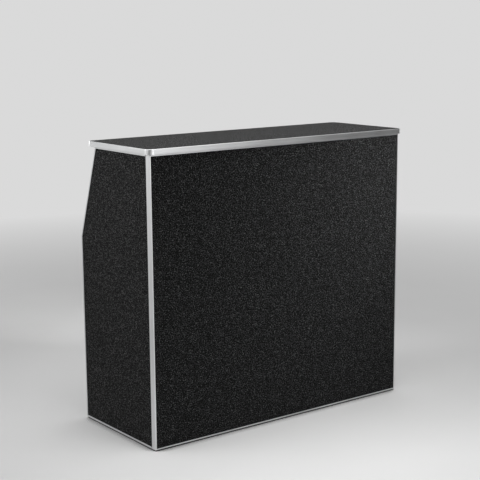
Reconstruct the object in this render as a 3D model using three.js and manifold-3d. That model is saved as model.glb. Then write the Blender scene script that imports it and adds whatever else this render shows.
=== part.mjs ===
import * as THREE from "three";
import Module from "manifold-3d";

// Folding portable bar, in millimetres. X runs along the bar, -Y is the customer's side, +Z is up.
// The origin lies on the floor under the middle of the bounding box.

// Overall sizes
const TOP_WIDTH = 1200;
const TOP_DEPTH = 414;
const TOP_HEIGHT = 20;
const BAR_HEIGHT = 1080;
const BODY_WIDTH = 1174;
const BODY_DEPTH = 486;
const FRONT_OVERHANG = 12;
const FIT = 0.3;
const ROUND_SIDES = 24;
const CUT_OVERSHOOT = 5;

// Levels
const GLIDE_HEIGHT = 4.3;
const BODY_TOP = BAR_HEIGHT - TOP_HEIGHT - FIT;
const BODY_BOTTOM = GLIDE_HEIGHT;

// Front panel
const FRAME_DEPTH = 24;
const FRAME_WALL = 2;
const FRAME_FLANGE = 5;
const FRAME_NOSE = 3;
const FRAME_NOSE_STEPS = 4;
const FRAME_LIP = 10;
const FRAME_REAR_FLANGE = 22;
const FRONT_BOARD_FACE = 2;
const FRONT_BOARD_THICK = 10;
const MITRE_GAP = 0.15;
const FRONT_GLIDE_INSET = 60;
const FRONT_GLIDE_RADIUS = 10;

// Side panels
const SIDE_THICK = 20;
const SIDE_TOP_DEPTH = 365;
const SIDE_KINK_HEIGHT = 714;
const TRIM_WALL = 1.5;
const TRIM_FLANGE = 6;
const SIDE_GLIDE_FRONT = 110;
const SIDE_GLIDE_REAR = 445;
const SIDE_GLIDE_RADIUS = 9;

// Continuous hinges, all of one pattern
const HINGE_SIDES = 12;
const KNUCKLE_GAP = 0.4;
const HINGE_PIN_END = 0.8;

// Hinges between the front frame and the sides
const SIDE_HINGE = {
  radius: 4,
  bore: 2.3,
  pin: 1.75,
  leaf: 1.35,
  length: 1000,
  knuckles: 20,
};
const SIDE_HINGE_INSET = 27.5;
const SIDE_HINGE_DEPTH = FRAME_DEPTH + SIDE_HINGE.leaf + FIT;
const SIDE_HINGE_BOTTOM = 29;
const SIDE_FRONT_EDGE = SIDE_HINGE_DEPTH + SIDE_HINGE.leaf + 1.5 * FIT;

// Shelves, stowed upright behind the front board
const SHELF_WIDTH = 1108;
const SHELF_THICK = 16;
const SHELF_WALL = 1.2;
const SHELF_FRONT_GAP = 0.5;
const SHELF_HINGE = {
  radius: 2.4,
  bore: 1.55,
  pin: 1.1,
  leaf: 1.1,
  length: 1080,
  knuckles: 18,
  plate: 22,
};
const FRONT_BOARD_BACK = FRONT_BOARD_FACE + FRONT_BOARD_THICK;
const SHELF_HINGE_DEPTH = FRONT_BOARD_BACK + FIT + SHELF_HINGE.radius;
const SHELF_FACE = SHELF_HINGE_DEPTH + SHELF_HINGE.radius + FIT - TRIM_WALL;
const SHELVES = [
  { name: "lower", level: 150, depth: 405 },
  { name: "upper", level: 600, depth: 425 },
];

// Magnetic catches on the front board and the strike plates they hold
const CATCH = { x: 300, below: 28, width: 44, height: 14, thick: 3.2 };
const STRIKE = { width: 36, height: 12, thick: 1.2 };

// Cleats that carry the lowered shelves
const CLEAT_PROJECTION = 21.5;
const CLEAT_LEG = 22;
const CLEAT_WALL = 2;
const CLEAT_START = 60;
const CLEAT_LENGTH = 370;

// Top
const TOP_CORNER_RADIUS = 25;
const TOP_CORNER_STEPS = 10;
const EDGING = { chamfer: 0.8, wall: 3, flange: 14, flangeThick: 1.5 };
const TOP_PIN = { x: 400, depth: 12, radius: 5, height: 11, footRadius: 8, footHeight: 1.2 };
const SOCKET = { radius: 9, height: 13, bore: 5.5, boreDepth: 11.5, headroom: 1 };

const FRONT_Y = FRONT_OVERHANG - (BODY_DEPTH + FRONT_OVERHANG) / 2;

const LAMINATE = { color: 0x1e1e20, roughness: 0.6, metalness: 0 };
const ALUMINIUM = { color: 0xc9cbcd, roughness: 0.35, metalness: 1 };
const STEEL = { color: 0x9a9ca0, roughness: 0.3, metalness: 1 };
const NYLON = { color: 0x161616, roughness: 0.7, metalness: 0 };

const wasm = await Module();
wasm.setup();

const bar = new THREE.Group();
bar.name = "folding_portable_bar";

function add(name, geometry, finish) {
  const mesh = new THREE.Mesh(geometry, new THREE.MeshStandardMaterial(finish));
  mesh.name = name;
  bar.add(mesh);
}

function depthToY(depth) {
  return FRONT_Y + depth;
}

// Closed surface from vertices and faces, turned to face outward
function solidFrom(points, faces) {
  let volume = 0;
  for (const [a, b, c] of faces) {
    volume += points[a].dot(points[b].clone().cross(points[c]));
  }
  const index = faces.flatMap(([a, b, c]) => (volume < 0 ? [a, c, b] : [a, b, c]));
  const geometry = new THREE.BufferGeometry().setFromPoints(points);
  geometry.setIndex(index);
  return geometry;
}

// Straight piece between two rings that share one outline
function prism(outline, ringA, ringB) {
  if (THREE.ShapeUtils.isClockWise(outline)) {
    return prism(outline.toReversed(), ringA.toReversed(), ringB.toReversed());
  }
  const count = outline.length;
  const caps = THREE.ShapeUtils.triangulateShape(outline, []);
  const faces = [];
  for (const [a, b, c] of caps) {
    faces.push([c, b, a]);
    faces.push([a + count, b + count, c + count]);
  }
  for (let i = 0; i < count; i += 1) {
    const j = (i + 1) % count;
    faces.push([i, j, j + count]);
    faces.push([i, j + count, i + count]);
  }
  return solidFrom([...ringA, ...ringB], faces);
}

// Slab with the given outline in (p, q), from cross-depth w0 to w1
function slab(outline, w0, w1, place) {
  const ring = (w) => outline.map((point) => place(point.x, point.y, w));
  return prism(outline, ring(w0), ring(w1));
}

// Rectangular plate centred on (x, z), facing the front
function plateOn(x, z, size, depth0, depth1) {
  const w = size.width / 2;
  const h = size.height / 2;
  const outline = points2([[x - w, z - h], [x + w, z - h], [x + w, z + h], [x - w, z + h]]);
  return slab(outline, depth0, depth1, placeFront);
}

function points2(list) {
  return list.map(([x, y]) => new THREE.Vector2(x, y));
}

function toManifold(geometry) {
  const mesh = new wasm.Mesh({
    numProp: 3,
    vertProperties: new Float32Array(geometry.getAttribute("position").array),
    triVerts: new Uint32Array(geometry.index.array),
  });
  mesh.merge();
  return new wasm.Manifold(mesh);
}

function toGeometry(solid) {
  const mesh = solid.getMesh();
  const geometry = new THREE.BufferGeometry();
  geometry.setAttribute("position", new THREE.BufferAttribute(mesh.vertProperties, 3));
  geometry.setIndex(new THREE.BufferAttribute(mesh.triVerts, 1));
  return geometry;
}

// Frame of the front panel and the shelves: outline in (x, z), cross-depth runs rearward
function placeFront(x, z, depth) {
  return new THREE.Vector3(x, depthToY(depth), z);
}

// Frame of a side panel: outline in (depth, z), cross-depth runs inward from the outer face
function placeSide(hand) {
  return (depth, z, inward) => {
    const x = hand * (BODY_WIDTH / 2 - inward);
    return new THREE.Vector3(x, depthToY(depth), z);
  };
}

// Frame of the top: outline in (x, y), cross-depth runs upward from the underside
function placeTop(x, y, up) {
  return new THREE.Vector3(x, y, BAR_HEIGHT - TOP_HEIGHT + up);
}

function edgeFrame(outline, i) {
  const count = outline.length;
  const start = outline[i];
  const end = outline[(i + 1) % count];
  const along = end.clone().sub(start);
  const length = along.length();
  along.normalize();
  const inward = new THREE.Vector2(-along.y, along.x);
  return { start, along, inward, length };
}

// Cotangent of half the corner angle at vertex i of a counter-clockwise outline
function mitreSlope(outline, i) {
  const count = outline.length;
  const before = edgeFrame(outline, (i + count - 1) % count).along;
  const after = edgeFrame(outline, i).along;
  const turn = Math.acos(THREE.MathUtils.clamp(before.dot(after), -1, 1));
  return Math.tan(turn / 2);
}

// One length of extruded section along an edge of an outline.
// The section is given as (inset, cross-depth); an end is mitred, or cut square.
function trimLength(outline, i, section, place, ends = ["mitre", "mitre"]) {
  const { start, along, inward, length } = edgeFrame(outline, i);
  const slopes = [
    ends[0] === "mitre" ? mitreSlope(outline, i) : 0,
    ends[1] === "mitre" ? mitreSlope(outline, (i + 1) % outline.length) : 0,
  ];
  const at = (distance, point) => {
    const flat = start.clone().addScaledVector(along, distance);
    flat.addScaledVector(inward, point.x);
    return place(flat.x, flat.y, point.y);
  };
  const ringA = section.map((point) => at(point.x * slopes[0] + MITRE_GAP, point));
  const ringB = section.map((point) => at(length - point.x * slopes[1] - MITRE_GAP, point));
  return prism(section, ringA, ringB);
}

// Outline moved inward, edge by edge
function insetOutline(outline, insets) {
  const count = outline.length;
  return outline.map((vertex, i) => {
    const before = edgeFrame(outline, (i + count - 1) % count);
    const after = edgeFrame(outline, i);
    const a = before.start.clone().addScaledVector(before.inward, insets[(i + count - 1) % count]);
    const b = after.start.clone().addScaledVector(after.inward, insets[i]);
    const cross = before.along.x * after.along.y - before.along.y * after.along.x;
    const gap = b.clone().sub(a);
    const t = (gap.x * after.along.y - gap.y * after.along.x) / cross;
    return a.addScaledVector(before.along, t);
  });
}

// U channel that grips a board edge
function channelSection(thick, wall, flange) {
  return points2([
    [0, 0],
    [flange, 0],
    [flange, wall],
    [wall, wall],
    [wall, thick - wall],
    [flange, thick - wall],
    [flange, thick],
    [0, thick],
  ]);
}

function cylinderAlong(axis, radius, start, length, sides) {
  const geometry = new THREE.CylinderGeometry(radius, radius, length, sides);
  geometry.deleteAttribute("normal");
  geometry.deleteAttribute("uv");
  geometry.translate(0, length / 2, 0);
  const up = new THREE.Vector3(0, 1, 0);
  geometry.applyQuaternion(new THREE.Quaternion().setFromUnitVectors(up, axis));
  geometry.translate(start.x, start.y, start.z);
  return geometry;
}

// One leaf of a continuous hinge: a plate whose edge is rolled into every second knuckle.
// The plate runs from the pin along `across`, between the two offsets along `normal`.
function hingeLeaf(hinge, origin, axis, across, normal, plateWidth, offsets, parity) {
  const pitch = hinge.length / hinge.knuckles;
  const corner = (s, p, q) => {
    const point = origin.clone().addScaledVector(axis, s);
    return point.addScaledVector(across, p).addScaledVector(normal, q);
  };
  const section = points2([
    [0, offsets[0]],
    [plateWidth, offsets[0]],
    [plateWidth, offsets[1]],
    [0, offsets[1]],
  ]);
  const ring = (s) => section.map((point) => corner(s, point.x, point.y));
  const ends = [KNUCKLE_GAP, hinge.length - KNUCKLE_GAP];
  let leaf = toManifold(prism(section, ring(ends[0]), ring(ends[1])));
  for (let k = 0; k < hinge.knuckles; k += 1) {
    const own = k % 2 === parity;
    const gap = own ? KNUCKLE_GAP : -KNUCKLE_GAP;
    const radius = own ? hinge.radius : hinge.radius + KNUCKLE_GAP;
    const start = corner(k * pitch + gap / 2, 0, 0);
    const barrel = toManifold(cylinderAlong(axis, radius, start, pitch - gap, HINGE_SIDES));
    leaf = own ? leaf.add(barrel) : leaf.subtract(barrel);
  }
  const boreStart = corner(-CUT_OVERSHOOT, 0, 0);
  const boreLength = hinge.length + 2 * CUT_OVERSHOOT;
  const bore = toManifold(cylinderAlong(axis, hinge.bore, boreStart, boreLength, HINGE_SIDES));
  return toGeometry(leaf.subtract(bore));
}

function hingePin(hinge, origin, axis) {
  const start = origin.clone().addScaledVector(axis, -HINGE_PIN_END);
  return cylinderAlong(axis, hinge.pin, start, hinge.length + 2 * HINGE_PIN_END, HINGE_SIDES);
}

const X_AXIS = new THREE.Vector3(1, 0, 0);
const Y_AXIS = new THREE.Vector3(0, 1, 0);
const Z_AXIS = new THREE.Vector3(0, 0, 1);

// Front panel: a laminate board in the groove of a mitred aluminium frame.
// The section has a rounded nose, a front flange, a lip behind the board and a wide rear flange.
function frameSection() {
  const nose = [];
  for (let k = 0; k <= FRAME_NOSE_STEPS; k += 1) {
    const angle = (k / FRAME_NOSE_STEPS) * (Math.PI / 2);
    const inset = FRAME_NOSE * (1 - Math.cos(angle));
    nose.push([inset, FRAME_NOSE * (1 - Math.sin(angle))]);
  }
  const groove = FRONT_BOARD_FACE - FIT;
  const lip = FRONT_BOARD_BACK + FIT;
  return points2([
    ...nose,
    [FRAME_FLANGE, 0],
    [FRAME_FLANGE, groove],
    [FRAME_WALL, groove],
    [FRAME_WALL, lip],
    [FRAME_LIP, lip],
    [FRAME_LIP, lip + groove],
    [FRAME_WALL, lip + groove],
    [FRAME_WALL, FRAME_DEPTH - FRAME_WALL],
    [FRAME_REAR_FLANGE, FRAME_DEPTH - FRAME_WALL],
    [FRAME_REAR_FLANGE, FRAME_DEPTH],
    [0, FRAME_DEPTH],
  ]);
}

const half = BODY_WIDTH / 2;
const frontOutline = points2([
  [-half, BODY_BOTTOM],
  [half, BODY_BOTTOM],
  [half, BODY_TOP],
  [-half, BODY_TOP],
]);
const frameNames = ["bottom", "right", "top", "left"];
frameNames.forEach((name, i) => {
  add(`front_frame_${name}`, trimLength(frontOutline, i, frameSection(), placeFront), ALUMINIUM);
});
const boardInset = FRAME_WALL + FIT;
const frontBoardOutline = insetOutline(frontOutline, [boardInset, boardInset, boardInset, boardInset]);
add("front_board", slab(frontBoardOutline, FRONT_BOARD_FACE, FRONT_BOARD_BACK, placeFront), LAMINATE);

function glide(name, x, depth, radius) {
  const start = new THREE.Vector3(x, depthToY(depth), 0);
  add(name, cylinderAlong(Z_AXIS, radius, start, GLIDE_HEIGHT - FIT, ROUND_SIDES), NYLON);
}
const frontGlideX = half - FRONT_GLIDE_INSET;
glide("front_glide_left", -frontGlideX, FRAME_DEPTH / 2, FRONT_GLIDE_RADIUS);
glide("front_glide_right", frontGlideX, FRAME_DEPTH / 2, FRONT_GLIDE_RADIUS);

// Side panels: a board with a raked rear edge, channel trims, cleats and its hinge leaf
const sideOutline = points2([
  [SIDE_FRONT_EDGE, BODY_BOTTOM],
  [BODY_DEPTH, BODY_BOTTOM],
  [BODY_DEPTH, SIDE_KINK_HEIGHT],
  [SIDE_TOP_DEPTH, BODY_TOP],
  [SIDE_FRONT_EDGE, BODY_TOP],
]);
const sideTrims = [
  { name: "bottom", edge: 0, ends: ["square", "mitre"] },
  { name: "rear_lower", edge: 1, ends: ["mitre", "mitre"] },
  { name: "rear_slope", edge: 2, ends: ["mitre", "mitre"] },
  { name: "top", edge: 3, ends: ["mitre", "square"] },
];
const cleatSection = points2([
  [0, 0],
  [CLEAT_PROJECTION, 0],
  [CLEAT_PROJECTION, -CLEAT_WALL],
  [CLEAT_WALL, -CLEAT_WALL],
  [CLEAT_WALL, -CLEAT_LEG],
  [0, -CLEAT_LEG],
]);

function shelfAxisHeight(level) {
  return level + SHELF_FACE + TRIM_WALL - SHELF_HINGE_DEPTH;
}

function cleat(hand, shelf) {
  const shelfUnder = shelfAxisHeight(shelf.level) - (SHELF_FACE + SHELF_THICK - SHELF_HINGE_DEPTH);
  const seat = SIDE_THICK - TRIM_WALL;
  const ring = (depth) => cleatSection.map((point) => {
    const x = hand * (half - seat - point.x);
    return new THREE.Vector3(x, depthToY(depth), shelfUnder - FIT + point.y);
  });
  return prism(cleatSection, ring(CLEAT_START), ring(CLEAT_START + CLEAT_LENGTH));
}

for (const [side, hand] of [["left", -1], ["right", 1]]) {
  const place = placeSide(hand);
  const section = channelSection(SIDE_THICK, TRIM_WALL, TRIM_FLANGE);
  for (const trim of sideTrims) {
    const geometry = trimLength(sideOutline, trim.edge, section, place, trim.ends);
    add(`${side}_side_trim_${trim.name}`, geometry, ALUMINIUM);
  }
  const inset = TRIM_WALL + FIT;
  const boardOutline = insetOutline(sideOutline, [inset, inset, inset, inset, 0]);
  const board = slab(boardOutline, inset, SIDE_THICK - inset, place);
  add(`${side}_side_board`, board, LAMINATE);
  for (const shelf of SHELVES) {
    add(`${side}_cleat_${shelf.name}`, cleat(hand, shelf), ALUMINIUM);
  }
  const across = X_AXIS.clone().multiplyScalar(hand);
  const hingeX = half - SIDE_HINGE_INSET;
  const origin = new THREE.Vector3(hand * hingeX, depthToY(SIDE_HINGE_DEPTH), SIDE_HINGE_BOTTOM);
  const width = SIDE_HINGE_INSET - FRAME_WALL;
  const near = FIT / 2;
  const far = near + SIDE_HINGE.leaf;
  const fixed = hingeLeaf(SIDE_HINGE, origin, Z_AXIS, across, Y_AXIS, width, [-far, -near], 0);
  add(`${side}_hinge_fixed_leaf`, fixed, STEEL);
  const moving = hingeLeaf(SIDE_HINGE, origin, Z_AXIS, across, Y_AXIS, width, [near, far], 1);
  add(`${side}_hinge_side_leaf`, moving, STEEL);
  add(`${side}_hinge_pin`, hingePin(SIDE_HINGE, origin, Z_AXIS), STEEL);
  const glideX = hand * (half - SIDE_THICK / 2);
  glide(`${side}_glide_front`, glideX, SIDE_GLIDE_FRONT, SIDE_GLIDE_RADIUS);
  glide(`${side}_glide_rear`, glideX, SIDE_GLIDE_REAR, SIDE_GLIDE_RADIUS);
}

// Shelves: hinged on the back of the front board, trimmed on the rear edge and both ends
for (const shelf of SHELVES) {
  const axisZ = shelfAxisHeight(shelf.level);
  const bottom = axisZ + SHELF_FRONT_GAP;
  const reach = SHELF_WIDTH / 2;
  const outline = points2([
    [-reach, bottom],
    [reach, bottom],
    [reach, bottom + shelf.depth],
    [-reach, bottom + shelf.depth],
  ]);
  const section = channelSection(SHELF_THICK, SHELF_WALL, TRIM_FLANGE);
  const place = (x, z, w) => placeFront(x, z, SHELF_FACE + w);
  const right = trimLength(outline, 1, section, place, ["square", "mitre"]);
  add(`${shelf.name}_shelf_trim_right`, right, ALUMINIUM);
  const rear = trimLength(outline, 2, section, place);
  add(`${shelf.name}_shelf_trim_rear`, rear, ALUMINIUM);
  const left = trimLength(outline, 3, section, place, ["mitre", "square"]);
  add(`${shelf.name}_shelf_trim_left`, left, ALUMINIUM);
  const inset = TRIM_WALL;
  const boardOutline = insetOutline(outline, [0, inset, inset, inset]);
  const board = slab(boardOutline, TRIM_WALL, SHELF_THICK - TRIM_WALL, place);
  add(`${shelf.name}_shelf_board`, board, LAMINATE);
  const start = -SHELF_HINGE.length / 2;
  const origin = new THREE.Vector3(start, depthToY(SHELF_HINGE_DEPTH), axisZ);
  const plate = SHELF_HINGE.plate;
  const outer = SHELF_HINGE.radius;
  const inner = outer - SHELF_HINGE.leaf;
  const fixed = hingeLeaf(SHELF_HINGE, origin, X_AXIS, Z_AXIS, Y_AXIS, plate, [-outer, -inner], 0);
  add(`${shelf.name}_shelf_hinge_fixed_leaf`, fixed, STEEL);
  const moving = hingeLeaf(SHELF_HINGE, origin, X_AXIS, Z_AXIS, Y_AXIS, plate, [inner, outer], 1);
  add(`${shelf.name}_shelf_hinge_shelf_leaf`, moving, STEEL);
  add(`${shelf.name}_shelf_hinge_pin`, hingePin(SHELF_HINGE, origin, X_AXIS), STEEL);
  const catchZ = bottom + shelf.depth - CATCH.below;
  const back = FRONT_BOARD_BACK + FIT;
  const face = SHELF_FACE + TRIM_WALL - FIT;
  for (const [hand, x] of [["left", -CATCH.x], ["right", CATCH.x]]) {
    const magnet = plateOn(x, catchZ, CATCH, back, back + CATCH.thick);
    add(`${shelf.name}_catch_${hand}`, magnet, NYLON);
    const strike = plateOn(x, catchZ, STRIKE, face - STRIKE.thick, face);
    add(`${shelf.name}_strike_${hand}`, strike, STEEL);
  }
}

// Top: a laminate board in one bent length of edging, with sockets over the locating pins
function roundedRectangle(width, depth, radius, steps) {
  const list = [];
  const cx = width / 2 - radius;
  const cy = depth / 2 - radius;
  const corners = [[-cx, -cy, Math.PI], [cx, -cy, 1.5 * Math.PI], [cx, cy, 0], [-cx, cy, 0.5 * Math.PI]];
  for (const [x, y, from] of corners) {
    for (let k = 0; k <= steps; k += 1) {
      const angle = from + (k / steps) * (Math.PI / 2);
      list.push([x + radius * Math.cos(angle), y + radius * Math.sin(angle)]);
    }
  }
  return points2(list);
}

// Edging section as (inset, height): a plain face with eased edges, and a flange under the board
const edgingSection = points2([
  [EDGING.chamfer, 0],
  [0, EDGING.chamfer],
  [0, TOP_HEIGHT - EDGING.chamfer],
  [EDGING.chamfer, TOP_HEIGHT],
  [EDGING.wall, TOP_HEIGHT],
  [EDGING.wall, EDGING.flangeThick],
  [EDGING.flange, EDGING.flangeThick],
  [EDGING.flange, 0],
]);
const TOP_CENTRE_Y = depthToY(-FRONT_OVERHANG) + TOP_DEPTH / 2;

function topLoop(inset) {
  const radius = TOP_CORNER_RADIUS - inset;
  const loop = roundedRectangle(TOP_WIDTH - 2 * inset, TOP_DEPTH - 2 * inset, radius, TOP_CORNER_STEPS);
  return loop.map((point) => point.add(new THREE.Vector2(0, TOP_CENTRE_Y)));
}

function topEdging() {
  const rings = edgingSection.map((point) => {
    return topLoop(point.x).map((at) => placeTop(at.x, at.y, point.y));
  });
  const around = rings[0].length;
  const faces = [];
  rings.forEach((ring, r) => {
    const next = (r + 1) % rings.length;
    for (let i = 0; i < around; i += 1) {
      const j = (i + 1) % around;
      faces.push([r * around + i, r * around + j, next * around + j]);
      faces.push([r * around + i, next * around + j, next * around + i]);
    }
  });
  return solidFrom(rings.flat(), faces);
}
add("top_edging", topEdging(), ALUMINIUM);

const topBoardUnder = EDGING.flangeThick + FIT;
const topBoardOutline = topLoop(EDGING.wall + FIT);
let topBoard = toManifold(slab(topBoardOutline, topBoardUnder, TOP_HEIGHT - FIT, placeTop));
const socketBase = BAR_HEIGHT - TOP_HEIGHT + topBoardUnder;
for (const [hand, x] of [["left", -TOP_PIN.x], ["right", TOP_PIN.x]]) {
  const y = depthToY(TOP_PIN.depth);
  const upright = (radius, base, height) => {
    const start = new THREE.Vector3(x, y, base);
    return toManifold(cylinderAlong(Z_AXIS, radius, start, height, ROUND_SIDES));
  };
  const shank = upright(TOP_PIN.radius, BODY_TOP + FIT, TOP_PIN.height);
  const foot = upright(TOP_PIN.footRadius, BODY_TOP + FIT, TOP_PIN.footHeight);
  add(`top_pin_${hand}`, toGeometry(shank.add(foot)), STEEL);
  const cutBase = socketBase - CUT_OVERSHOOT;
  const holeHeight = CUT_OVERSHOOT + SOCKET.height + SOCKET.headroom;
  topBoard = topBoard.subtract(upright(SOCKET.radius + FIT, cutBase, holeHeight));
  const bore = upright(SOCKET.bore, cutBase, CUT_OVERSHOOT + SOCKET.boreDepth);
  const cup = upright(SOCKET.radius, socketBase, SOCKET.height);
  add(`top_socket_${hand}`, toGeometry(cup.subtract(bore)), NYLON);
}
add("top_board", toGeometry(topBoard), LAMINATE);

export default bar;
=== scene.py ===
import math

import bmesh
import bpy
from mathutils import Matrix, Quaternion, Vector


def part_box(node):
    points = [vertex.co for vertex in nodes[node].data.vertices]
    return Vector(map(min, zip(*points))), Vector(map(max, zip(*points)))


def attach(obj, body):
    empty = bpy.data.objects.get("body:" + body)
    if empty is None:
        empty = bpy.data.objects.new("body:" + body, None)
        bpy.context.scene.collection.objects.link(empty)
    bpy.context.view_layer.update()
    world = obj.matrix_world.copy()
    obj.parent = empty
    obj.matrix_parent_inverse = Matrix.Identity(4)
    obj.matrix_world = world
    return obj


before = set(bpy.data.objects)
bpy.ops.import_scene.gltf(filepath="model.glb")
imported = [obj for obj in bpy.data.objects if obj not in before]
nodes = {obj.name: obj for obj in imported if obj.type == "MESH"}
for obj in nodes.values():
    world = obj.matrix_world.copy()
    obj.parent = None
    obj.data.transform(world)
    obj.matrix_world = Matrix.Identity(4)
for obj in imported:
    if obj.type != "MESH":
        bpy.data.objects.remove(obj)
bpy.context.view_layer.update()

MM = 0.001
SIDES = ("left", "right")
LEVELS = ("lower", "upper")

# Camera, fitted to the corners and edges of the bar
CAMERA_PLACE = Vector((-2.7921, -3.6797, 1.5138))
CAMERA_HEADING = math.radians(36.93)
CAMERA_PITCH = math.radians(-10.42)
CAMERA_ROLL = math.radians(-0.47)
CAMERA_LENS = 90.27
CAMERA_SENSOR = 36
CAMERA_REACH = 100

# Studio: grey levels, and the distances over which the floor turns into the backdrop
WORLD_GREY = 0.36
BACKDROP_GREY = 0.70
FLOOR_GREY = 0.585
CARD_GREY = 0.11
STAGE_MOTTLE = 0.01
STAGE_ROUGHNESS = 0.9
FLOOR_SIZE = 60
FLOOR_FADE = (1.6, 5.0)

# Contact shadow on the floor: how far it reaches, and its brightness for a share of open sky
CONTACT_REACH = 70 * MM
CONTACT_SAMPLES = 8
CONTACT_STOPS = [(0.36, 0.0), (0.50, 0.25), (0.62, 0.85), (0.75, 1.0)]

# Range that holds most of a noise texture's values
NOISE_RANGE = (0.3, 0.7)

# Black laminate: cells per metre, how much pebbles and clouds shift the grain, and its greys
GRAIN_SCALE = 290
PEBBLE_SCALE = 245
PEBBLE_BLUR = 0.6
PEBBLE_RANGE = (0.0, 0.9)
PEBBLE_SHIFT = 0.10
CLOUD_SCALE = 60
CLOUD_SHIFT = 0.03
LAMINATE_STOPS = [(0.40, 0.001), (0.50, 0.0035), (0.58, 0.0130), (0.69, 0.098)]
LAMINATE_MOTTLE = (0.42, 0.60)
LAMINATE_ROUGHNESS = (0.95, 0.50)
LAMINATE_SPECULAR = 0.12

# Satin aluminium: its drawing lines, tones and roughness
LINE_LENGTH = 300 * MM
LINE_SIZE = 1.1 * MM
LINE_RANGE = (0.25, 0.75)
LINE_TONES = ((0.63, 0.635, 0.64), (0.79, 0.795, 0.80))
LINE_ROUGHNESS = (0.30, 0.40)
HAZE_SCALE = 9
HAZE_ROUGHNESS = 0.03

# Zinc plate and moulded nylon
PLATE_CLOUD_SCALE = 60
PLATE_SPOT_SCALE = 900
PLATE_TONES = ((0.40, 0.41, 0.43), (0.56, 0.55, 0.52))
PLATE_ROUGHNESS = (0.24, 0.38)
SPARK_SCALE = 1400
SPARK_TONES = ((0.010, 0.010, 0.011), (0.026, 0.026, 0.027))
SPARK_ROUGHNESS = (0.45, 0.62)

# Eased edges and shading
BOARD_EASE = 0.5 * MM
ALUMINIUM_EASE = 0.3 * MM
STEEL_EASE = 0.15 * MM
NYLON_EASE = 0.6 * MM
EASE_SEGMENTS = 2
WELD_GAP = 0.01 * MM
SLIVER_GAP = 0.002 * MM
SMOOTH_LIMIT = math.radians(35)

# Screw heads in millimetres, each a profile of (radius, height) that is turned round
SCREW_SIDES = 20
PAN_HEAD = [(3.4, 0.0), (3.4, 0.5), (3.2, 1.0), (2.7, 1.4), (2.0, 1.6)]
LOW_HEAD = [(2.7, 0.0), (2.7, 0.3), (2.5, 0.6), (2.1, 0.8), (1.7, 0.9)]
FLUSH_HEAD = [(3.0, 0.0), (3.0, 0.08), (2.9, 0.12)]
SCREW_TURN = math.radians(37)

# Cross recess, as shares of the head's flat radius and height
RECESS_REACH = 0.8
RECESS_WIDTH = 0.22
RECESS_FLOOR = 0.35
RECESS_TAPER = 0.7

# Rows of screws: shares of a length, or the first place in steps and the count
CLEAT_SCREWS = (0.06, 0.35, 0.65, 0.94)
STRIKE_SCREWS = (0.2, 0.8)
EDGING_LONG_SCREWS = (0.12, 0.37, 0.63, 0.88)
EDGING_SHORT_SCREWS = (0.25, 0.75)
SIDE_FIXED_ROW = (0.5, 10)
SIDE_MOVING_ROW = (0.9, 9)
SHELF_FIXED_ROW = (0.5, 9)
SHELF_MOVING_ROW = (1.0, 8)

# Plate sizes that place the screws
CLEAT_WALL = 2 * MM
SHELF_LEAF = 1.1 * MM
SIDE_LEAF_GAP = 0.3 * MM
EDGING_FLANGE_MIDDLE = 8.5 * MM
CATCH_SCREW_INSET = 3.5 * MM

# Steel pole plates on the face of a magnetic catch
POLE_WIDTH = 28 * MM
POLE_HEIGHT = 2 * MM
POLE_THICKNESS = 0.15 * MM
POLE_EASE = 0.06 * MM
POLE_OFFSET = 3.6 * MM


def grey(level):
    return (level, level, level)


def greys(stops):
    return [(at, grey(level)) for at, level in stops]


def add_object(name, data):
    made = bpy.data.objects.new(name, data)
    bpy.context.scene.collection.objects.link(made)
    return made


def aim(thing, place, target):
    """Puts a lamp or card at place, facing target."""
    thing.location = place
    thing.rotation_mode = "QUATERNION"
    thing.rotation_quaternion = (Vector(target) - Vector(place)).to_track_quat("-Z", "Y")


def make_camera():
    data = bpy.data.cameras.new("camera")
    data.lens = CAMERA_LENS
    data.sensor_width = CAMERA_SENSOR
    data.clip_end = CAMERA_REACH
    camera = add_object("camera", data)
    forward = Vector((
        math.sin(CAMERA_HEADING) * math.cos(CAMERA_PITCH),
        math.cos(CAMERA_HEADING) * math.cos(CAMERA_PITCH),
        math.sin(CAMERA_PITCH),
    ))
    roll = Quaternion((0, 0, 1), CAMERA_ROLL)
    camera.location = CAMERA_PLACE
    camera.rotation_mode = "QUATERNION"
    camera.rotation_quaternion = forward.to_track_quat("-Z", "Y") @ roll
    bpy.context.scene.camera = camera


class Graph:
    """A node tree, with short calls for the nodes used here."""

    def __init__(self, owner):
        owner.use_nodes = True
        self.owner = owner
        self.tree = owner.node_tree

    def node(self, kind, **values):
        made = self.tree.nodes.new(kind)
        for key, value in values.items():
            setattr(made, key, value)
        return made

    def link(self, source, target):
        self.tree.links.new(source, target)

    def span(self, value, source, result):
        """The value, carried over from the source range to the result range."""
        remap = self.node("ShaderNodeMapRange")
        names = ("From Min", "From Max", "To Min", "To Max")
        for name, number in zip(names, (*source, *result)):
            remap.inputs[name].default_value = number
        self.link(value, remap.inputs["Value"])
        return remap.outputs["Result"]

    def maths(self, operation, a, b):
        step = self.node("ShaderNodeMath", operation=operation)
        for socket, value in zip(step.inputs, (a, b)):
            if isinstance(value, (int, float)):
                socket.default_value = value
            else:
                self.link(value, socket)
        return step.outputs["Value"]

    def seen(self):
        """1 for a ray that shows the backdrop: from the camera, or by way of metal or glass."""
        rays = self.node("ShaderNodeLightPath").outputs
        seen = rays["Is Camera Ray"]
        for name in ("Is Glossy Ray", "Is Transmission Ray"):
            seen = self.maths("MAXIMUM", seen, rays[name])
        return seen


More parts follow.
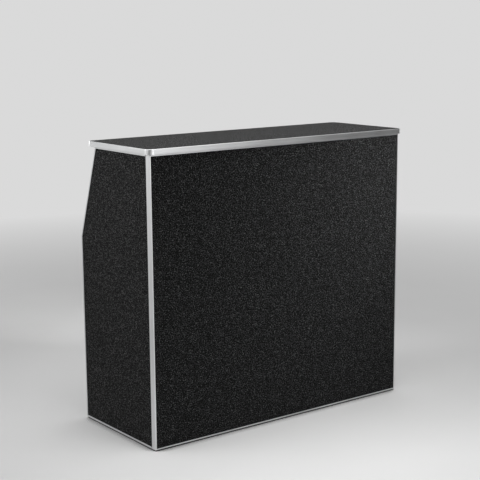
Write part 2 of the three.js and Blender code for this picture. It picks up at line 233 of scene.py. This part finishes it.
class Finish(Graph):
    """The node tree of a new material, round its main shader."""

    def __init__(self, name):
        super().__init__(bpy.data.materials.new(name))
        self.shader = self.tree.nodes["Principled BSDF"]
        self.object_place = self.node("ShaderNodeTexCoord").outputs["Object"]

    def drive(self, name, source):
        self.link(source, self.shader.inputs[name])

    def fix(self, name, value):
        self.shader.inputs[name].default_value = value

    def mapped(self, size, rotation):
        """Object place in a frame turned by rotation, in units of size."""
        mapping = self.node("ShaderNodeMapping", vector_type="TEXTURE")
        mapping.inputs["Scale"].default_value = size
        mapping.inputs["Rotation"].default_value = rotation
        self.link(self.object_place, mapping.inputs["Vector"])
        return mapping.outputs["Vector"]

    def noise(self, place, scale, detail=2.0, roughness=0.5):
        noise = self.node("ShaderNodeTexNoise")
        noise.inputs["Scale"].default_value = scale
        noise.inputs["Detail"].default_value = detail
        noise.inputs["Roughness"].default_value = roughness
        self.link(place, noise.inputs["Vector"])
        return noise.outputs["Fac"]

    def cells(self, scale, blur):
        """Distance from the middle of soft cells."""
        cells = self.node("ShaderNodeTexVoronoi", feature="SMOOTH_F1")
        cells.inputs["Scale"].default_value = scale
        cells.inputs["Smoothness"].default_value = blur
        self.link(self.object_place, cells.inputs["Vector"])
        return cells.outputs["Distance"]

    def ramp(self, value, stops):
        ramp = self.node("ShaderNodeValToRGB")
        points = ramp.color_ramp.elements
        for at, colour in stops[len(points):]:
            points.new(at)
        for point, (at, colour) in zip(points, stops):
            point.position = at
            point.color = (*colour, 1)
        self.link(value, ramp.inputs["Fac"])
        return ramp.outputs["Color"]

    def tone(self, value, colours, limits=NOISE_RANGE):
        """From the first colour to the second one, as value goes from limit to limit."""
        return self.ramp(value, list(zip(limits, colours)))

    def mottled(self, level, scale, detail):
        """A grey that wavers a little over the surface."""
        cloud = self.noise(self.object_place, scale, detail)
        return self.tone(cloud, (grey(level - STAGE_MOTTLE), grey(level + STAGE_MOTTLE)))

    def bump(self, height, distance, strength):
        bump = self.node("ShaderNodeBump")
        bump.inputs["Distance"].default_value = distance
        bump.inputs["Strength"].default_value = strength
        self.link(height, bump.inputs["Height"])
        self.drive("Normal", bump.outputs["Normal"])


def laminate():
    """Black laminate with a pebbled surface and grey grains."""
    g = Finish("black_laminate")
    grain = g.noise(g.object_place, GRAIN_SCALE, detail=4, roughness=0.55)
    pebbles = g.cells(PEBBLE_SCALE, PEBBLE_BLUR)
    cloud = g.noise(g.object_place, CLOUD_SCALE)
    mottle = g.maths("ADD", grain, g.span(pebbles, PEBBLE_RANGE, (PEBBLE_SHIFT, -PEBBLE_SHIFT)))
    tint = g.maths("ADD", mottle, g.span(cloud, NOISE_RANGE, (-CLOUD_SHIFT, CLOUD_SHIFT)))
    g.drive("Base Color", g.ramp(tint, greys(LAMINATE_STOPS)))
    g.drive("Roughness", g.span(mottle, LAMINATE_MOTTLE, LAMINATE_ROUGHNESS))
    g.fix("Specular IOR Level", LAMINATE_SPECULAR)
    g.bump(mottle, distance=0.5 * MM, strength=0.4)
    return g.owner


def aluminium(name, run, across=LINE_SIZE):
    """Satin anodised aluminium with fine drawing lines along X of a frame turned by run."""
    g = Finish(name)
    along = g.mapped((LINE_LENGTH, across, LINE_SIZE), run)
    lines = g.noise(along, scale=1, detail=3, roughness=0.6)
    haze = g.noise(g.object_place, HAZE_SCALE, detail=3)
    satin = g.span(lines, NOISE_RANGE, LINE_ROUGHNESS)
    uneven = g.span(haze, NOISE_RANGE, (-HAZE_ROUGHNESS, HAZE_ROUGHNESS))
    g.drive("Base Color", g.tone(lines, LINE_TONES, LINE_RANGE))
    g.drive("Roughness", g.maths("ADD", satin, uneven))
    g.fix("Metallic", 1)
    g.bump(lines, distance=0.06 * MM, strength=0.5)
    return g.owner


def plated_steel():
    """Bright zinc plate with a faint cloudy tint."""
    g = Finish("plated_steel")
    cloud = g.noise(g.object_place, PLATE_CLOUD_SCALE, detail=4)
    spots = g.noise(g.object_place, PLATE_SPOT_SCALE)
    g.drive("Base Color", g.tone(cloud, PLATE_TONES))
    g.drive("Roughness", g.span(spots, NOISE_RANGE, PLATE_ROUGHNESS))
    g.fix("Metallic", 1)
    g.bump(spots, distance=0.02 * MM, strength=0.3)
    return g.owner


def nylon():
    """Black moulded nylon with a fine spark texture."""
    g = Finish("black_nylon")
    spark = g.noise(g.object_place, SPARK_SCALE, detail=3)
    g.drive("Base Color", g.tone(spark, SPARK_TONES))
    g.drive("Roughness", g.span(spark, NOISE_RANGE, SPARK_ROUGHNESS))
    g.bump(spark, distance=0.1 * MM, strength=0.4)
    return g.owner


def slope_lean():
    """Lean of the raked rear edge from the vertical, read from its trim."""
    low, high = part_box("left_side_trim_rear_slope")
    return math.atan2(high.y - low.y, high.z - low.z)


def smooth_group():
    """Geometry nodes that shade smooth across every edge flatter than the limit."""
    group = bpy.data.node_groups.new("smooth_by_angle", "GeometryNodeTree")
    for way in ("INPUT", "OUTPUT"):
        group.interface.new_socket("Geometry", in_out=way, socket_type="NodeSocketGeometry")
    enter = group.nodes.new("NodeGroupInput")
    leave = group.nodes.new("NodeGroupOutput")
    faces = group.nodes.new("GeometryNodeSetShadeSmooth")
    edges = group.nodes.new("GeometryNodeSetShadeSmooth")
    edges.domain = "EDGE"
    angle = group.nodes.new("GeometryNodeInputMeshEdgeAngle")
    gentle = group.nodes.new("FunctionNodeCompare")
    gentle.operation = "LESS_EQUAL"
    gentle.inputs["B"].default_value = SMOOTH_LIMIT
    group.links.new(enter.outputs[0], faces.inputs["Geometry"])
    group.links.new(faces.outputs["Geometry"], edges.inputs["Geometry"])
    group.links.new(angle.outputs["Unsigned Angle"], gentle.inputs["A"])
    group.links.new(gentle.outputs["Result"], edges.inputs["Shade Smooth"])
    group.links.new(edges.outputs["Geometry"], leave.inputs[0])
    return group


def shade_smooth(piece):
    smooth = piece.modifiers.new("smooth", "NODES")
    smooth.node_group = SMOOTH
    weighted = piece.modifiers.new("weighted", "WEIGHTED_NORMAL")
    weighted.keep_sharp = True


def weld(piece, name, gap):
    modifier = piece.modifiers.new(name, "WELD")
    modifier.merge_threshold = gap


def dress(piece, material, width):
    """Gives a CAD node its finish and edges eased by width, as modifiers."""
    piece.data.materials.clear()
    piece.data.materials.append(material)
    weld(piece, "weld", WELD_GAP)
    ease = piece.modifiers.new("ease", "BEVEL")
    ease.width = width
    ease.segments = EASE_SEGMENTS
    ease.limit_method = "ANGLE"
    ease.angle_limit = SMOOTH_LIMIT
    weld(piece, "close", SLIVER_GAP)
    shade_smooth(piece)


def finish_for(name):
    """The material and the edge width of a CAD node, told from its name."""
    if name.endswith("_board"):
        return LAMINATE, BOARD_EASE
    if "hinge" in name or "strike" in name or name.startswith("top_pin"):
        return STEEL, STEEL_EASE
    if "glide" in name or "catch" in name or "socket" in name:
        return NYLON, NYLON_EASE
    if name == "top_edging":
        return ALUMINIUM_BENT, ALUMINIUM_EASE
    if name.endswith("_rear_slope"):
        return ALUMINIUM_SLOPE, ALUMINIUM_EASE
    if name.endswith(("_left", "_right", "_rear_lower")):
        return ALUMINIUM_Z, ALUMINIUM_EASE
    if "_side_trim" in name or "cleat" in name:
        return ALUMINIUM_Y, ALUMINIUM_EASE
    return ALUMINIUM_X, ALUMINIUM_EASE


def join_rings(bm, rings):
    """Walls between each ring of vertices and the next one."""
    for low, high in zip(rings, rings[1:]):
        for k in range(len(low)):
            n = (k + 1) % len(low)
            bm.faces.new((low[k], low[n], high[n], high[k]))


def cross_outline(reach, width):
    """The twelve corners of a cross recess, counter-clockwise."""
    arm = [Vector((reach, -width)), Vector((reach, width)), Vector((width, width))]
    corners = []
    for quarter in range(4):
        turn = Matrix.Rotation(quarter * math.pi / 2, 2)
        corners += [turn @ corner for corner in arm]
    return corners


def add_screw(bm, place, facing, spin, profile):
    """One screw head on place, looking along facing: a turned profile with a cross recess."""
    turn = Vector((0, 0, 1)).rotation_difference(facing) @ Quaternion((0, 0, 1), spin)

    def vertex(x, y, z):
        return bm.verts.new(place + turn @ (Vector((x, y, z)) * MM))

    angles = [2 * math.pi * k / SCREW_SIDES for k in range(SCREW_SIDES)]
    rings = []
    for radius, height in profile:
        rings.append([vertex(radius * math.cos(a), radius * math.sin(a), height) for a in angles])
    join_rings(bm, rings)
    bm.faces.new(rings[0][::-1])
    rim, top = profile[-1]
    outline = cross_outline(RECESS_REACH * rim, RECESS_WIDTH * rim)
    mouth = [vertex(c.x, c.y, top) for c in outline]
    floor = [vertex(c.x * RECESS_TAPER, c.y * RECESS_TAPER, top * RECESS_FLOOR) for c in outline]
    land = []
    for k in range(SCREW_SIDES):
        land.append(bm.edges.get((rings[-1][k], rings[-1][(k + 1) % SCREW_SIDES])))
    for k in range(len(outline)):
        n = (k + 1) % len(outline)
        land.append(bm.edges.new((mouth[k], mouth[n])))
        bm.faces.new((mouth[k], floor[k], floor[n], mouth[n]))
    bm.faces.new(floor)
    bmesh.ops.triangle_fill(bm, use_beauty=True, edges=land, normal=facing)


def add_pole_plate(bm, place):
    """A thin plate on place, standing out towards +Y, with eased edges."""
    rings = []
    for inset, out in ((0, 0), (0, POLE_THICKNESS - POLE_EASE), (POLE_EASE, POLE_THICKNESS)):
        x = POLE_WIDTH / 2 - inset
        z = POLE_HEIGHT / 2 - inset
        corners = (Vector((-x, out, -z)), Vector((x, out, -z)), Vector((x, out, z)), Vector((-x, out, z)))
        rings.append([bm.verts.new(place + corner) for corner in corners])
    join_rings(bm, rings)
    bm.faces.new(rings[0])
    bm.faces.new(rings[-1])


def steel_piece(bm, name, body):
    """Turns a finished bmesh into a plated steel piece that rides on a body."""
    bmesh.ops.recalc_face_normals(bm, faces=bm.faces)
    mesh = bpy.data.meshes.new(name)
    bm.to_mesh(mesh)
    bm.free()
    mesh.materials.append(STEEL)
    piece = add_object(name, mesh)
    weld(piece, "weld", WELD_GAP)
    shade_smooth(piece)
    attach(piece, body)


def screw_row(name, body, places, facing, profile):
    """A row of screw heads as one piece that rides on a body."""
    bm = bmesh.new()
    for k, place in enumerate(places):
        add_screw(bm, Vector(place), Vector(facing), k * SCREW_TURN, profile)
    steel_piece(bm, name, body)


def cleat_screws(side, level):
    """Screws through the upright wall of a cleat, with their heads on the inside of the bar."""
    low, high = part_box(f"{side}_cleat_{level}")
    inward = 1 if side == "left" else -1
    outer = low.x if side == "left" else high.x
    x = outer + inward * CLEAT_WALL
    z = (low.z + high.z - CLEAT_WALL) / 2
    places = [(x, low.y + part * (high.y - low.y), z) for part in CLEAT_SCREWS]
    screw_row(f"{side}_cleat_{level}_screws", f"{side}_side", places, (inward, 0, 0), PAN_HEAD)


def side_hinge_screws(side):
    """Screws on the two leaves of a side hinge, staggered so that they pass each other."""
    low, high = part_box(f"{side}_hinge_fixed_leaf")
    x = (low.x + high.x) / 2
    y = (low.y + high.y) / 2
    step = (high.z - low.z) / SIDE_FIXED_ROW[1]
    leaves = (("fixed", "front", 1, SIDE_FIXED_ROW), ("side", f"{side}_side", -1, SIDE_MOVING_ROW))
    for leaf, body, way, (first, count) in leaves:
        surface = y - way * SIDE_LEAF_GAP / 2
        places = [(x, surface, low.z + (first + k) * step) for k in range(count)]
        screw_row(f"{side}_hinge_{leaf}_leaf_screws", body, places, (0, way, 0), FLUSH_HEAD)


def shelf_hinge_screws(level):
    """Screws on the two leaves of a shelf hinge, staggered so that they pass each other."""
    low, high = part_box(f"{level}_shelf_hinge_fixed_leaf")
    radius = (high.y - low.y) / 2
    y = (low.y + high.y) / 2
    z = (low.z + 2 * radius + high.z) / 2
    step = (high.x - low.x) / SHELF_FIXED_ROW[1]
    leaves = (("fixed", "front", 1, SHELF_FIXED_ROW), ("shelf", f"{level}_shelf", -1, SHELF_MOVING_ROW))
    for leaf, body, way, (first, count) in leaves:
        surface = y - way * (radius - SHELF_LEAF)
        places = [(low.x + (first + k) * step, surface, z) for k in range(count)]
        screw_row(f"{level}_shelf_hinge_{leaf}_leaf_screws", body, places, (0, way, 0), LOW_HEAD)


def strike_screws(level):
    """Screws on the two strike plates of a shelf."""
    places = []
    for side in SIDES:
        low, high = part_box(f"{level}_strike_{side}")
        z = (low.z + high.z) / 2
        places += [(low.x + part * (high.x - low.x), low.y, z) for part in STRIKE_SCREWS]
    screw_row(f"{level}_strike_screws", f"{level}_shelf", places, (0, -1, 0), FLUSH_HEAD)


def catch_faces(level):
    """Pole plates and screws on the two catches of a shelf."""
    bm = bmesh.new()
    places = []
    for side in SIDES:
        low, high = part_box(f"{level}_catch_{side}")
        x = (low.x + high.x) / 2
        z = (low.z + high.z) / 2
        for offset in (-POLE_OFFSET, POLE_OFFSET):
            add_pole_plate(bm, Vector((x, high.y, z + offset)))
        places.append((low.x + CATCH_SCREW_INSET, high.y, z))
        places.append((high.x - CATCH_SCREW_INSET, high.y, z))
    steel_piece(bm, f"{level}_catch_pole_plates", "front")
    screw_row(f"{level}_catch_screws", "front", places, (0, 1, 0), FLUSH_HEAD)


def edging_screws():
    """Screws under the top, through the lower flange of its edging."""
    low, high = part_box("top_edging")
    inset = EDGING_FLANGE_MIDDLE
    places = []
    for part in EDGING_LONG_SCREWS:
        x = low.x + part * (high.x - low.x)
        places += [(x, low.y + inset, low.z), (x, high.y - inset, low.z)]
    for part in EDGING_SHORT_SCREWS:
        y = low.y + part * (high.y - low.y)
        places += [(low.x + inset, y, low.z), (high.x - inset, y, low.z)]
    screw_row("top_edging_screws", "top", places, (0, 0, -1), FLUSH_HEAD)


def contact_shade(g):
    """Brightness of the floor where things stand close over it, as the camera sees it."""
    occlusion = g.node("ShaderNodeAmbientOcclusion", samples=CONTACT_SAMPLES)
    occlusion.inputs["Distance"].default_value = CONTACT_REACH
    shadow = g.ramp(occlusion.outputs["AO"], greys(CONTACT_STOPS))
    camera_ray = g.node("ShaderNodeLightPath").outputs["Is Camera Ray"]
    return g.maths("MAXIMUM", shadow, g.maths("SUBTRACT", 1, camera_ray))


def make_floor():
    """Pale floor with a contact shadow, which turns into the plain backdrop away from the bar."""
    bpy.ops.mesh.primitive_plane_add(size=FLOOR_SIZE, location=(0, 0, 0))
    floor = bpy.context.object
    floor.name = "floor"
    g = Finish("floor")
    tone = g.mottled(FLOOR_GREY, scale=1.3, detail=3)
    g.drive("Base Color", g.maths("MULTIPLY", tone, contact_shade(g)))
    g.fix("Roughness", STAGE_ROUGHNESS)
    distance = g.node("ShaderNodeVectorMath", operation="LENGTH")
    g.link(g.object_place, distance.inputs[0])
    far = g.span(distance.outputs["Value"], FLOOR_FADE, (0, 1))
    glow = g.node("ShaderNodeEmission")
    glow.inputs["Color"].default_value = (*grey(BACKDROP_GREY), 1)
    blend = g.node("ShaderNodeMixShader")
    g.link(g.maths("MULTIPLY", far, g.seen()), blend.inputs["Fac"])
    g.link(g.shader.outputs["BSDF"], blend.inputs[1])
    g.link(glow.outputs["Emission"], blend.inputs[2])
    g.link(blend.outputs["Shader"], g.tree.nodes["Material Output"].inputs["Surface"])
    floor.data.materials.append(g.owner)


def make_world():
    """Soft grey light from all round, which shows as the backdrop."""
    world = bpy.data.worlds.new("studio")
    bpy.context.scene.world = world
    g = Graph(world)
    level = g.span(g.seen(), (0, 1), (WORLD_GREY, BACKDROP_GREY))
    g.link(level, g.tree.nodes["Background"].inputs["Color"])


def softbox(name, place, target, size, power, spread=180, glossy=True):
    """Studio lamp, with its spread in degrees. Without glossy, no surface mirrors it."""
    data = bpy.data.lights.new(name, "AREA")
    data.shape = "RECTANGLE"
    data.size, data.size_y = size
    data.energy = power
    data.spread = math.radians(spread)
    lamp = add_object(name, data)
    lamp.visible_camera = False
    lamp.visible_glossy = glossy
    aim(lamp, place, target)


def dark_card(name, place, target, size):
    """Studio flag outside the camera's view that metal reflects as a darker patch."""
    mesh = bpy.data.meshes.new(name)
    x = size[0] / 2
    y = size[1] / 2
    mesh.from_pydata([(-x, -y, 0), (x, -y, 0), (x, y, 0), (-x, y, 0)], [], [(0, 1, 2, 3)])
    card = add_object(name, mesh)
    aim(card, place, target)
    card.visible_camera = False
    card.visible_diffuse = False
    card.visible_shadow = False
    g = Finish(name)
    g.drive("Base Color", g.mottled(CARD_GREY, scale=40, detail=2))
    g.fix("Roughness", STAGE_ROUGHNESS)
    mesh.materials.append(g.owner)


def light_studio():
    """Lamps over and round the bar, and two cards that give the metal its darker stretches."""
    softbox("overhead", place=(0, -0.1, 3.6), target=(0, -0.1, 1), size=(3.4, 2.6), power=74)
    softbox("key", place=(-0.2, -1.4, 2.6), target=(-0.1, -0.6, 0), size=(1.2, 1.0), power=4.5,
            spread=60, glossy=False)
    softbox("right_fill", place=(1.6, -1.6, 1.5), target=(0.66, -0.24, 1), size=(0.8, 0.8), power=8,
            spread=45, glossy=False)
    softbox("left_panel", place=(-2.2, 0.65, 1.8), target=(-0.59, -0.05, 1.1), size=(1.5, 1.0), power=9,
            spread=90)
    softbox("front_panel", place=(0.25, -3, 1), target=(-0.2, -0.24, 1), size=(1.5, 0.9), power=8)
    softbox("rear_panel", place=(0.3, 3, 0.7), target=(0, -0.2, 0.6), size=(1.6, 0.7), power=1.6,
            spread=50)
    dark_card("right_card", place=(2.75, -2.18, 0.9), target=(0.2, -0.24, 0.9), size=(2.4, 2.2))
    dark_card("camera_card", place=(-2.5, -2.1, 1.2), target=(-0.59, -0.24, 1), size=(1.5, 1.6))


bpy.context.scene.view_settings.view_transform = "Standard"
make_camera()
make_world()
make_floor()
light_studio()

SMOOTH = smooth_group()
LAMINATE = laminate()
ALUMINIUM_X = aluminium("aluminium_along_x", (0, 0, 0))
ALUMINIUM_Y = aluminium("aluminium_along_y", (0, 0, math.pi / 2))
ALUMINIUM_Z = aluminium("aluminium_along_z", (0, math.pi / 2, 0))
ALUMINIUM_SLOPE = aluminium("aluminium_along_slope", (slope_lean(), -math.pi / 2, 0))
ALUMINIUM_BENT = aluminium("aluminium_bent", (0, 0, 0), across=LINE_LENGTH)
STEEL = plated_steel()
NYLON = nylon()

for name, piece in nodes.items():
    material, width = finish_for(name)
    dress(piece, material, width)

for side in SIDES:
    side_hinge_screws(side)
    for level in LEVELS:
        cleat_screws(side, level)
for level in LEVELS:
    shelf_hinge_screws(level)
    strike_screws(level)
    catch_faces(level)
edging_screws()
